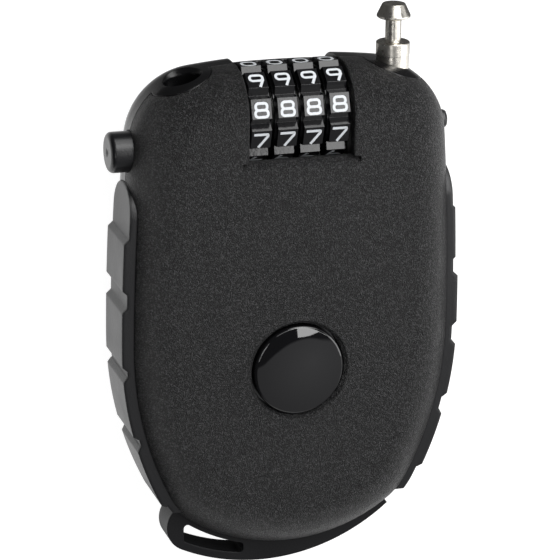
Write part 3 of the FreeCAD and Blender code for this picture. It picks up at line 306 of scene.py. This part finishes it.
def digit_lines(digit):
    """Centre lines of one digit's strokes about its middle, in millimetres: (points, closed).

    They are straight lines between corners, each corner rounded by its own radius.
    """
    w = (DIGIT_WIDTH - STROKE_WIDTH) / 2
    h = (DIGIT_HEIGHT - STROKE_WIDTH) / 2
    bend = 0.55
    loop = 0.45
    return {
        0: [(rounded_line([(-w, -h), (w, -h), (w, h), (-w, h)], [0.8] * 4, True), True)],
        1: [(rounded_line([(-0.55, h - 0.45), (0.15, h), (0.15, -h)], [0, 0.05, 0]), False)],
        2: [(rounded_line([(-w, h - 0.6), (-w, h), (w, h), (w, 0.15), (-w, -h), (w, -h)],
                          [0, bend, bend, 0.5, 0.03, 0]), False)],
        3: [(rounded_line([(-w, h), (w, h), (w, 0.0), (-0.35, 0.0)],
                          [0, bend, loop, 0]), False),
            (rounded_line([(-0.35, 0.0), (w, 0.0), (w, -h), (-w, -h)],
                          [0, loop, bend, 0]), False)],
        4: [(rounded_line([(w, -0.45), (-w, -0.45), (0.35, h), (0.35, -h)],
                          [0, 0.1, 0.05, 0]), False)],
        5: [(rounded_line([(w, h), (-w + 0.1, h), (-w + 0.05, 0.2), (w, 0.2), (w, -h), (-w, -h)],
                          [0, 0.1, 0.1, bend, bend, 0]), False)],
        6: [(rounded_line([(-w, -h), (w, -h), (w, 0.0), (-w, 0.0)], [0.48] * 4, True), True),
            (rounded_line([(-w, -0.5), (-w, -0.12), (-0.4, h)], [0, 0.3, 0]), False)],
        7: [(rounded_line([(-w, h), (w, h), (w, h - 0.35), (-0.25, -h)],
                          [0, 0.08, 0.5, 0]), False)],
        8: [(rounded_line([(-w + 0.1, 0.0), (w - 0.1, 0.0), (w - 0.1, h), (-w + 0.1, h)],
                          [loop] * 4, True), True),
            (rounded_line([(-w, -h), (w, -h), (w, 0.0), (-w, 0.0)], [loop] * 4, True), True)],
        9: [(rounded_line([(-w, 0.0), (w, 0.0), (w, h), (-w, h)], [0.48] * 4, True), True),
            (rounded_line([(w, 0.5), (w, 0.12), (0.4, -h)], [0, 0.3, 0]), False)],
    }[digit]


def stroke_points(line, closed, lift):
    """A flat stroke: four points round its section at each point of its centre line."""
    if closed:
        line = np.vstack([line, line[:1]])
    keep = np.concatenate([[True], np.linalg.norm(np.diff(line, axis=0), axis=1) > SAME_POINT])
    line = line[keep]
    way = np.gradient(line, axis=0)
    if closed:
        way[0] = way[-1] = line[1] - line[-2]
    way = way / np.linalg.norm(way, axis=1, keepdims=True)
    left = np.stack([-way[:, 1], way[:, 0]], axis=1) * STROKE_WIDTH / 2
    if not closed:
        line[0] -= way[0] * STROKE_WIDTH / 2
        line[-1] += way[-1] * STROKE_WIDTH / 2
    low = np.full(len(line), -STROKE_SUNK)
    high = np.full(len(line), STROKE_PROUD + lift)
    return np.stack([
        np.column_stack([line - left, low]), np.column_stack([line - left, high]),
        np.column_stack([line + left, high]), np.column_stack([line + left, low])], axis=1)


def on_dial(points, centre_x, turn):
    """Carries flat digit points (right, up, out) to a land at an angle from +Z towards +Y."""
    out = DIAL_LAND_APOTHEM + points[..., 2]
    up = points[..., 1] - DIGIT_DROP
    y = DIAL_AXIS_Y + up * math.cos(turn) + out * math.sin(turn)
    z = DIAL_AXIS_Z - up * math.sin(turn) + out * math.cos(turn)
    return np.stack([centre_x + points[..., 0], y, z], axis=-1)


def dial_digits(place, centre_x):
    """The ten printed digits of one dial as one piece of thin raised strokes."""
    verts = []
    faces = []
    start = 0
    first_turn = DIAL_FACE_TURN + (LAST_DIAL_EXTRA_TURN if place == 4 else 0)
    for step in range(10):
        turn = math.radians(first_turn + DIGIT_STEP * step)
        for number, (line, closed) in enumerate(digit_lines((FRONT_DIGIT + step) % 10)):
            flat = stroke_points(line, closed, STROKE_LIFT * number)
            points = on_dial(flat, centre_x, turn)
            rows = len(points)
            index = start + np.arange(rows * 4).reshape(rows, 4)
            ring = np.hstack([index, index[:, :1]])
            quads = np.stack([ring[:-1, :-1], ring[1:, :-1], ring[1:, 1:], ring[:-1, 1:]], axis=-1)
            faces += quads.reshape(-1, 4).tolist()
            if not closed:
                faces.append(index[0].tolist())
                faces.append(index[-1][::-1].tolist())
            verts.append(points.reshape(-1, 3))
            start += rows * 4
    return link_mesh("digits_%d" % place, np.vstack(verts), faces)


# Materials

def new_material(name):
    material = bpy.data.materials.new(name)
    material.use_nodes = True
    tree = material.node_tree
    shader = tree.nodes["Principled BSDF"]
    return material, tree, shader


def add(tree, kind, **values):
    """A new shader node with its settings."""
    node = tree.nodes.new(kind)
    for key, value in values.items():
        setattr(node, key, value)
    return node


def mix_colours(tree, fac, dark, light):
    """A colour between dark, at 0, and light, at 1."""
    mix = add(tree, "ShaderNodeMix", data_type="RGBA")
    mix.inputs["A"].default_value = (*dark, 1.0)
    mix.inputs["B"].default_value = (*light, 1.0)
    tree.links.new(fac, mix.inputs["Factor"])
    return mix.outputs["Result"]


def lay_over(tree, colour, share, top):
    """A linked colour with a fixed one laid over it by its share."""
    layer = add(tree, "ShaderNodeMix", data_type="RGBA")
    layer.inputs["B"].default_value = (*top, 1.0)
    tree.links.new(colour, layer.inputs["A"])
    tree.links.new(share, layer.inputs["Factor"])
    return layer.outputs["Result"]


def product(tree, *values):
    """The product of several values."""
    result = values[0]
    for value in values[1:]:
        times = add(tree, "ShaderNodeMath", operation="MULTIPLY")
        tree.links.new(result, times.inputs[0])
        tree.links.new(value, times.inputs[1])
        result = times.outputs[0]
    return result


def map_value(tree, value, from_low, from_high, to_low, to_high):
    ranger = add(tree, "ShaderNodeMapRange")
    ranger.inputs["From Min"].default_value = from_low
    ranger.inputs["From Max"].default_value = from_high
    ranger.inputs["To Min"].default_value = to_low
    ranger.inputs["To Max"].default_value = to_high
    tree.links.new(value, ranger.inputs["Value"])
    return ranger.outputs["Result"]


def rising(tree, value, span):
    """0 below the span and 1 above it."""
    return map_value(tree, value, *span, 0.0, 1.0)


def falling(tree, value, span):
    """1 below the span and 0 above it."""
    return map_value(tree, value, *span, 1.0, 0.0)


# Inputs of the moulded grain, with their defaults: sizes in metres
GRAIN_INPUTS = (
    ("Grain size", 0.0003), ("Grain depth", 0.4), ("Cloud size", 0.008), ("Edge radius", 0.0001))
GRAIN_OUTPUTS = (
    ("Normal", "NodeSocketVector"), ("Glints", "NodeSocketFloat"), ("Clouds", "NodeSocketFloat"))
GRAIN_DETAIL = 1.5
GRAIN_ROUGHNESS = 0.6
GLINT_RARITY = 3.0
CLOUD_DETAIL = 4.0
EDGE_SAMPLES = 4


def one_over(tree, value):
    """The scale of a texture whose features have a given size."""
    inverse = add(tree, "ShaderNodeMath", operation="DIVIDE")
    inverse.inputs[0].default_value = 1.0
    tree.links.new(value, inverse.inputs[1])
    return inverse.outputs[0]


def mould_grain_group():
    """Moulded surface: a normal with grain and softened edges, glints and slow clouds.

    The relief is a two-octave noise one grain wide, laid on a surface whose edges are rounded by
    Edge radius. Glints are single grains, random values of cells raised to a power so that few are
    bright; laid over a base colour they make painted glints. Clouds is a slow noise.
    """
    group = bpy.data.node_groups.new("Moulded grain", "ShaderNodeTree")
    for name, default in GRAIN_INPUTS:
        socket = group.interface.new_socket(
            name=name, in_out="INPUT", socket_type="NodeSocketFloat")
        socket.default_value = default
    for name, kind in GRAIN_OUTPUTS:
        group.interface.new_socket(name=name, in_out="OUTPUT", socket_type=kind)
    start = add(group, "NodeGroupInput")
    end = add(group, "NodeGroupOutput")
    place = add(group, "ShaderNodeTexCoord")
    grain_scale = one_over(group, start.outputs["Grain size"])
    fine = add(group, "ShaderNodeTexNoise")
    fine.inputs["Detail"].default_value = GRAIN_DETAIL
    fine.inputs["Roughness"].default_value = GRAIN_ROUGHNESS
    group.links.new(place.outputs["Object"], fine.inputs["Vector"])
    group.links.new(grain_scale, fine.inputs["Scale"])
    cells = add(group, "ShaderNodeTexVoronoi", feature="F1")
    group.links.new(place.outputs["Object"], cells.inputs["Vector"])
    group.links.new(grain_scale, cells.inputs["Scale"])
    pick = add(group, "ShaderNodeSeparateColor")
    group.links.new(cells.outputs["Color"], pick.inputs[0])
    few = add(group, "ShaderNodeMath", operation="POWER")
    few.inputs[1].default_value = GLINT_RARITY
    group.links.new(pick.outputs[0], few.inputs[0])
    depth = product(group, fine.outputs["Fac"], start.outputs["Grain depth"])
    soft_edge = add(group, "ShaderNodeBevel", samples=EDGE_SAMPLES)
    group.links.new(start.outputs["Edge radius"], soft_edge.inputs["Radius"])
    relief = add(group, "ShaderNodeBump")
    group.links.new(start.outputs["Grain size"], relief.inputs["Distance"])
    group.links.new(depth, relief.inputs["Height"])
    group.links.new(soft_edge.outputs["Normal"], relief.inputs["Normal"])
    cloud = add(group, "ShaderNodeTexNoise")
    cloud.inputs["Detail"].default_value = CLOUD_DETAIL
    group.links.new(place.outputs["Object"], cloud.inputs["Vector"])
    group.links.new(one_over(group, start.outputs["Cloud size"]), cloud.inputs["Scale"])
    group.links.new(relief.outputs["Normal"], end.inputs["Normal"])
    group.links.new(few.outputs[0], end.inputs["Glints"])
    group.links.new(cloud.outputs["Fac"], end.inputs["Clouds"])
    return group


GRAIN = mould_grain_group()

# The part of the clouds' range over which a finish goes from its lowest to its highest roughness
CLOUD_SPAN = (0.3, 0.7)
# Blue tint of the painted glints
GLINT_BLUE = 1.02


def moulded(name, dark, light, rough, grain, specular=0.5, metallic=0.0, cloud_size=0.008,
            glint=0.0, edge=0.12):
    """A moulded or metal finish: cloudy colour, painted glints on single grains, fine relief and
    softened edges.

    Rough is the lowest and the highest roughness, grain the relief's size in metres and its
    depth, and edge the radius of the softened edges in millimetres.
    """
    material, tree, shader = new_material(name)
    surface = add(tree, "ShaderNodeGroup", node_tree=GRAIN)
    surface.inputs["Grain size"].default_value = grain[0]
    surface.inputs["Grain depth"].default_value = grain[1]
    surface.inputs["Cloud size"].default_value = cloud_size
    surface.inputs["Edge radius"].default_value = edge * MM
    colour = mix_colours(tree, surface.outputs["Clouds"], dark, light)
    # Painted glints: a few single grains made bright in the base colour
    if glint:
        bright = (glint, glint, glint * GLINT_BLUE)
        colour = lay_over(tree, colour, surface.outputs["Glints"], bright)
    tree.links.new(colour, shader.inputs["Base Color"])
    roughness = map_value(tree, surface.outputs["Clouds"], *CLOUD_SPAN, *rough)
    tree.links.new(roughness, shader.inputs["Roughness"])
    tree.links.new(surface.outputs["Normal"], shader.inputs["Normal"])
    shader.inputs["Metallic"].default_value = metallic
    shader.inputs["Specular IOR Level"].default_value = specular
    return material


def finish_node(name, material):
    piece = nodes[name]
    piece.data.materials.clear()
    piece.data.materials.append(material)


def finish_piece(piece, material):
    piece.data.materials.append(material)


# The grained shell carries painted glints in its base colour
grained_shell = moulded(
    "Grained shell plastic", (0.003, 0.003, 0.0033), (0.006, 0.006, 0.0064),
    rough=(0.36, 0.44), grain=(0.00018, 3.5), specular=0.40, glint=0.070, edge=0.2)
smooth_shell = moulded(
    "Smooth shell plastic", (0.004, 0.004, 0.0045), (0.006, 0.006, 0.0065),
    rough=(0.18, 0.26), grain=(0.0003, 0.08), edge=0.25)
grip_plastic = moulded(
    "Grip plastic", (0.008, 0.008, 0.009), (0.011, 0.011, 0.012),
    rough=(0.34, 0.42), grain=(0.0003, 0.12), edge=0.8)
foot_plastic = moulded(
    "Foot plastic", (0.006, 0.006, 0.0068), (0.009, 0.009, 0.010),
    rough=(0.36, 0.46), grain=(0.0003, 0.12), specular=0.30, edge=0.3)
button_plastic = moulded(
    "Polished button plastic", (0.003, 0.003, 0.0035), (0.004, 0.004, 0.0045),
    rough=(0.02, 0.04), grain=(0.004, 0.002), specular=0.8, edge=0.1)
dial_plastic = moulded(
    "Dial plastic", (0.004, 0.004, 0.005), (0.007, 0.007, 0.008),
    rough=(0.10, 0.16), grain=(0.0006, 0.02), edge=0.08)
print_ink = moulded(
    "White print", (0.70, 0.73, 0.76), (0.78, 0.81, 0.84),
    rough=(0.35, 0.45), grain=(0.0002, 0.1), edge=0.02)
nickel = moulded(
    "Nickel plate", (0.68, 0.65, 0.59), (0.78, 0.75, 0.68),
    rough=(0.24, 0.34), grain=(0.0012, 0.03), metallic=1.0, cloud_size=0.001, edge=0.1)
steel = moulded(
    "Pressed steel", (0.48, 0.48, 0.48), (0.56, 0.56, 0.56),
    rough=(0.28, 0.42), grain=(0.0003, 0.1), metallic=1.0)
spring_steel = moulded(
    "Spring steel", (0.42, 0.42, 0.43), (0.50, 0.50, 0.51),
    rough=(0.22, 0.34), grain=(0.0003, 0.1), metallic=1.0, edge=0.05)
zinc = moulded(
    "Zinc plated screws", (0.60, 0.60, 0.61), (0.70, 0.70, 0.71),
    rough=(0.26, 0.38), grain=(0.0003, 0.1), metallic=1.0)
sleeve_plate = moulded(
    "Plated sleeves", (0.50, 0.50, 0.49), (0.60, 0.60, 0.58),
    rough=(0.24, 0.36), grain=(0.0003, 0.1), metallic=1.0)
black_plastic = moulded(
    "Black plastic", (0.005, 0.005, 0.006), (0.008, 0.008, 0.009),
    rough=(0.26, 0.34), grain=(0.0003, 0.08), edge=0.15)
reel_plastic = moulded(
    "Natural reel plastic", (0.74, 0.73, 0.69), (0.80, 0.79, 0.75),
    rough=(0.40, 0.52), grain=(0.0003, 0.05))
brake_rubber = moulded(
    "Brake rubber", (0.02, 0.02, 0.02), (0.03, 0.03, 0.03),
    rough=(0.6, 0.75), grain=(0.0002, 0.4))
cable_coat = moulded(
    "Coated cable", (0.05, 0.05, 0.052), (0.08, 0.08, 0.083),
    rough=(0.25, 0.35), grain=(0.0004, 0.1))
aluminium = moulded(
    "Crimped aluminium", (0.68, 0.68, 0.68), (0.76, 0.76, 0.76),
    rough=(0.3, 0.45), grain=(0.0003, 0.1), metallic=1.0)

FINISHES = {
    grained_shell: ["front_shell"],
    smooth_shell: ["back_shell"],
    grip_plastic: ["left_grip", "right_grip"],
    foot_plastic: ["lanyard_foot"],
    button_plastic: ["brake_button"],
    dial_plastic: ["dial_1", "dial_2", "dial_3", "dial_4"],
    nickel: ["locking_pin"],
    steel: ["dial_frame", "reset_fork", "latch_bolt", "latch_spindle", "brake_disc"],
    spring_steel: ["detent_spring"],
    zinc: ["case_screws", "frame_screws", "stem_screw"],
    sleeve_plate: ["code_sleeve_1", "code_sleeve_2", "code_sleeve_3", "code_sleeve_4"],
    black_plastic: ["exit_bush", "thrust_washer", "ejector", "code_set_pin", "release_button"],
    reel_plastic: ["cable_reel", "reel_cap"],
    brake_rubber: ["brake_pad"],
    aluminium: ["cable_crimp", "pin_ferrule"],
}
for material, names in FINISHES.items():
    for name in names:
        finish_node(name, material)

wound_cable = cable_winding()
finish_piece(wound_cable, cable_coat)
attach(wound_cable, "reel")
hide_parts("cable_winding")

cable_run = cable_lead()
finish_piece(cable_run, cable_coat)
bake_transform(cable_run)
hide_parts("cable_lead")

# Each coil: node, mean radius, wire radius, turns, axis, end radius, joint that presses it, its
# travel, and which end stays (0 low, 1 high), in millimetres
COILS = (
    ("release_spring", 1.85, 0.2, 3, (1, 0, 0), None, "release_slide", 1.9, 1),
    ("sleeve_spring", 2.4, 0.12, 2, (1, 0, 0), 3.5, "code_set_slide", 1.0, 0),
    ("code_spring", 1.45, 0.17, 5, (1, 0, 0), None, "code_set_slide", 1.0, 0),
    ("ejector_spring", 1.8, 0.15, 2.5, (0, 1, 0), None, "ejector_slide", 1.2, 0),
    ("brake_spring", 4.2, 0.25, 4, (0, 0, 1), None, "brake_slide", 1.5, 0),
)
for node, mean_radius, wire_radius, turns, axis, end_radius, joint, travel, fixed_end in COILS:
    spring = coil_spring(node, mean_radius, wire_radius, turns, axis, end_radius)
    finish_piece(spring, spring_steel)
    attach(spring, "case")
    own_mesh(spring)
    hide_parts(node)

wound_strip = power_spring()
finish_piece(wound_strip, spring_steel)
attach(wound_strip, "case")
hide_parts("power_spring")

for place, centre_x in enumerate(DIAL_CENTRES, 1):
    digits = dial_digits(place, centre_x)
    finish_piece(digits, print_ink)
    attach(digits, "dial_%d" % place)

# Camera, at the photograph's angle: its place in millimetres, its axes and its focal length

CAMERA_PLACE = (-136.9, 156.0, 444.4)
CAMERA_RIGHT = (0.95549, 0.01311, 0.29473)
CAMERA_UP = (0.08307, 0.94663, -0.31143)
CAMERA_BACKWARDS = (-0.28308, 0.32205, 0.90341)
SENSOR_WIDTH = 36.0
FOCAL_LENGTH_PIXELS = 3089.9
PHOTO_WIDTH_PIXELS = 560.0
CAMERA_NEAR = 0.05
CAMERA_FAR = 20.0

scene = bpy.context.scene
camera_data = bpy.data.cameras.new("Camera")
camera_data.sensor_width = SENSOR_WIDTH
camera_data.lens = SENSOR_WIDTH * FOCAL_LENGTH_PIXELS / PHOTO_WIDTH_PIXELS
camera_data.clip_start = CAMERA_NEAR
camera_data.clip_end = CAMERA_FAR
camera = bpy.data.objects.new("Camera", camera_data)
scene.collection.objects.link(camera)
turn = Matrix([Vector(way) for way in (CAMERA_RIGHT, CAMERA_UP, CAMERA_BACKWARDS)])
camera.matrix_world = (
    Matrix.Translation(Vector(CAMERA_PLACE) * MM) @ turn.transposed().to_4x4())
scene.camera = camera

# Table: sizes of the floor in millimetres, edges of its painted dark patches in metres: a painted
# dark reflection over its upper part and a painted shadow under the foot, both seen only in
# reflections

FLOOR_REACH = 6000
FLOOR_DROP = 0.2
# Painted dark reflection: the table's glow and colour are dark in reflections over its upper part
UPPER_DARK_REFLECTION_Y = (0.026, 0.038)
# Painted shadow of the foot: the table's glow and colour are dark in reflections under the foot
FOOT_SHADOW_LEFT = (-0.0225, -0.0205)
FOOT_SHADOW_BOTTOM = (-0.0465, -0.0455)
FOOT_SHADOW_TOP = (-0.035, -0.033)
TABLE_GLOW = (0.95, 0.95, 0.95)
TABLE_COLOUR = (0.3, 0.3, 0.3)
# Colour of the painted dark patches, for their glow and their base colour
PAINTED_DARK_COLOUR = (0.03, 0.03, 0.03)
TABLE_ROUGHNESS = 0.9
TABLE_SPECULAR = 0.1


def light_table():
    """A pale table lit from below, all white to the camera.

    In reflections its glow and colour are painted dark over its upper part, a painted dark
    reflection, and under the foot, a painted shadow of the foot.
    """
    material, tree, shader = new_material("Light table")
    place = add(tree, "ShaderNodeTexCoord")
    split = add(tree, "ShaderNodeSeparateXYZ")
    tree.links.new(place.outputs["Object"], split.inputs[0])
    # Painted shadow of the foot on the table, seen only in reflections
    painted_foot_shadow = product(
        tree,
        rising(tree, split.outputs["X"], FOOT_SHADOW_LEFT),
        rising(tree, split.outputs["Y"], FOOT_SHADOW_BOTTOM),
        falling(tree, split.outputs["Y"], FOOT_SHADOW_TOP))
    # The glow left for reflections, with the painted dark reflection and the painted shadow taken
    # out
    reflected_glow = add(tree, "ShaderNodeMath", operation="SUBTRACT", use_clamp=True)
    tree.links.new(falling(tree, split.outputs["Y"], UPPER_DARK_REFLECTION_Y), reflected_glow.inputs[0])
    tree.links.new(painted_foot_shadow, reflected_glow.inputs[1])
    seen = add(tree, "ShaderNodeMix", data_type="FLOAT")
    light_path = add(tree, "ShaderNodeLightPath")
    tree.links.new(light_path.outputs["Is Camera Ray"], seen.inputs["Factor"])
    tree.links.new(reflected_glow.outputs[0], seen.inputs["A"])
    seen.inputs["B"].default_value = 1.0
    white = seen.outputs["Result"]
    tree.links.new(
        mix_colours(tree, white, PAINTED_DARK_COLOUR, TABLE_GLOW), shader.inputs["Emission Color"])
    tree.links.new(
        mix_colours(tree, white, PAINTED_DARK_COLOUR, TABLE_COLOUR), shader.inputs["Base Color"])
    shader.inputs["Emission Strength"].default_value = 1.0
    shader.inputs["Roughness"].default_value = TABLE_ROUGHNESS
    shader.inputs["Specular IOR Level"].default_value = TABLE_SPECULAR
    return material


across = np.linspace(-FLOOR_REACH, FLOOR_REACH, 3)
floor_points = np.stack(np.meshgrid(across, across, [-FLOOR_DROP], indexing="xy"), axis=-1)
floor = grid_piece("floor", floor_points[:, :, 0, :])
finish_piece(floor, light_table())


def soft_light(name, place, target, width, height, power):
    """A rectangular lamp at a place, turned to a target; lengths in metres, power in watts."""
    data = bpy.data.lights.new(name, "AREA")
    data.shape = "RECTANGLE"
    data.size = width
    data.size_y = height
    data.energy = power
    lamp = bpy.data.objects.new(name, data)
    scene.collection.objects.link(lamp)
    lamp.location = Vector(place)
    lamp.rotation_euler = (Vector(target) - Vector(place)).to_track_quat("-Z", "Y").to_euler()


soft_light("key softbox", place=(0.150, 0.215, 0.30), target=(0.150, 0.215, 0.0),
           width=0.15, height=0.435, power=1.08)
soft_light("right card", place=(0.105, 0.0, 0.06), target=(0.0, 0.0, 0.03),
           width=0.06, height=0.08, power=0.032)
soft_light("left softbox", place=(-0.13, 0.01, 0.30), target=(-0.13, 0.01, 0.0),
           width=0.07, height=0.12, power=0.08)
soft_light("upper strip", place=(-0.02, 0.22, 0.30), target=(0.0, 0.03, 0.0),
           width=0.17, height=0.08, power=0.12)

# Room, by direction: the front's curved edge, and the spans over which the lit parts rise

EDGE_X = 0.33
EDGE_Y = -0.014
EDGE_BEND = 1.39
EDGE_SOFT = 0.012
FRONT_DIRECTION = (0.40, -0.25, 0.88)
FRONT_SPAN = (0.0, 1.25)
FRONT_BRIGHT = (0.52, 0.52, 0.53)
FRONT_DIM = (0.03, 0.03, 0.032)
ABOVE_TONE = (0.05, 0.05, 0.053)
OVERHEAD_X = (-0.1, 0.15)
OVERHEAD_Y = (0.6, 0.7)
OVERHEAD_Z = (-0.03, 0.12)
OVERHEAD_TONE = (3.4, 3.4, 3.4)
BELOW_Y = (-1.0, -0.82)
BELOW_TONE = (0.9, 0.9, 0.9)
RIGHT_X = (0.74, 0.86)
RIGHT_TONE = (0.8, 0.8, 0.8)


def studio_world():
    """The room by direction: a grey front that ends in a curved edge, dark above the edge.

    The edge stands at y = EDGE_Y - EDGE_BEND * (x - EDGE_X)^2. Below it the grey fades with the
    distance from its brightest direction. A lit part overhead, one below and one at the right are
    laid over it.
    """
    world = bpy.data.worlds.new("Studio")
    world.use_nodes = True
    tree = world.node_tree
    place = add(tree, "ShaderNodeTexCoord")
    split = add(tree, "ShaderNodeSeparateXYZ")
    tree.links.new(place.outputs["Generated"], split.inputs[0])
    x, y, z = [split.outputs[axis] for axis in "XYZ"]
    aside = add(tree, "ShaderNodeMath", operation="SUBTRACT")
    aside.inputs[1].default_value = EDGE_X
    tree.links.new(x, aside.inputs[0])
    over = add(tree, "ShaderNodeMath", operation="MULTIPLY_ADD")
    over.inputs[1].default_value = EDGE_BEND
    tree.links.new(product(tree, aside.outputs[0], aside.outputs[0]), over.inputs[0])
    tree.links.new(y, over.inputs[2])
    above = rising(tree, over.outputs[0], (EDGE_Y - EDGE_SOFT, EDGE_Y + EDGE_SOFT))
    off = add(tree, "ShaderNodeVectorMath", operation="DISTANCE")
    off.inputs[1].default_value = FRONT_DIRECTION
    tree.links.new(place.outputs["Generated"], off.inputs[0])
    fading = rising(tree, off.outputs["Value"], FRONT_SPAN)
    overhead = product(
        tree,
        rising(tree, y, OVERHEAD_Y),
        rising(tree, z, OVERHEAD_Z),
        rising(tree, x, OVERHEAD_X))
    tone = mix_colours(tree, fading, FRONT_BRIGHT, FRONT_DIM)
    tone = lay_over(tree, tone, above, ABOVE_TONE)
    tone = lay_over(tree, tone, overhead, OVERHEAD_TONE)
    tone = lay_over(tree, tone, falling(tree, y, BELOW_Y), BELOW_TONE)
    tone = lay_over(tree, tone, rising(tree, x, RIGHT_X), RIGHT_TONE)
    tree.links.new(tone, tree.nodes["Background"].inputs["Color"])
    tree.nodes["Background"].inputs["Strength"].default_value = 1.0
    return world


scene.world = studio_world()
scene.view_settings.view_transform = "Standard"
